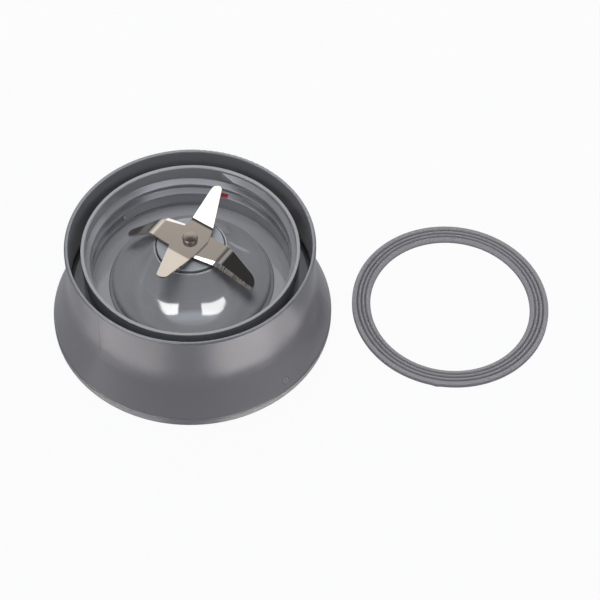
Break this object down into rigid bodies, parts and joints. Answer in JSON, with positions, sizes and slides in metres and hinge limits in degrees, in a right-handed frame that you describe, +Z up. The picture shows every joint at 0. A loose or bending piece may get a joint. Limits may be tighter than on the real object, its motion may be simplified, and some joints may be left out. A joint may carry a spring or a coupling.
{
  "type": "blender blade assembly",
  "caption": "Flared blender base collar with an internally threaded jar cup, bent stainless blades turning on a spindle, a drive coupling underneath and its rubber sealing ring laid beside it.",
  "frame": {"origin": "on the blades' spin axis, at the surface that the collar stands on", "axes": "+Z up along the spin axis, +X towards the sealing ring, +Y away from the picture's camera"},
  "size_m": [0.2147, 0.12, 0.0547],
  "materials": {
    "collar_plastic": "satin moulded plastic",
    "cup_plastic": "glossy moulded plastic",
    "screw_steel": "plated",
    "housing_alloy": "pale satin alloy",
    "gasket_rubber": "black",
    "plated_steel": "plated",
    "bearing_bronze": "sintered",
    "spindle_steel": "turned and peened",
    "blade_steel": "polished, with ground edges",
    "coupling_plastic": "black glass-filled plastic",
    "insert_brass": "turned",
    "ring_rubber": "grey"
  },
  "bodies": {
    "base": {"outer_collar": "collar_plastic", "threaded_cup": "cup_plastic", "collar_screws": "screw_steel", "bearing_housing": "housing_alloy", "housing_gasket": "gasket_rubber", "shaft_seal": "gasket_rubber", "housing_washer": "plated_steel", "housing_nut": "plated_steel", "upper_bush": "bearing_bronze", "lower_bush": "bearing_bronze", "sealing_ring": "ring_rubber"},
    "rotor": {"spindle": "spindle_steel", "blade_spacer": "spindle_steel", "lower_blade": "blade_steel", "upper_blade": "blade_steel", "thrust_washer": "plated_steel", "retaining_ring": "plated_steel", "drive_coupling": "coupling_plastic", "coupling_insert": "insert_brass", "lock_washer": "plated_steel", "coupling_nut": "plated_steel"}
  },
  "joints": [
    {"name": "blade_spin", "type": "hinge", "parent": "base", "child": "rotor", "pos_m": [0, 0, 0.045], "axis": [0, 0, 1], "continuous": true}
  ]
}
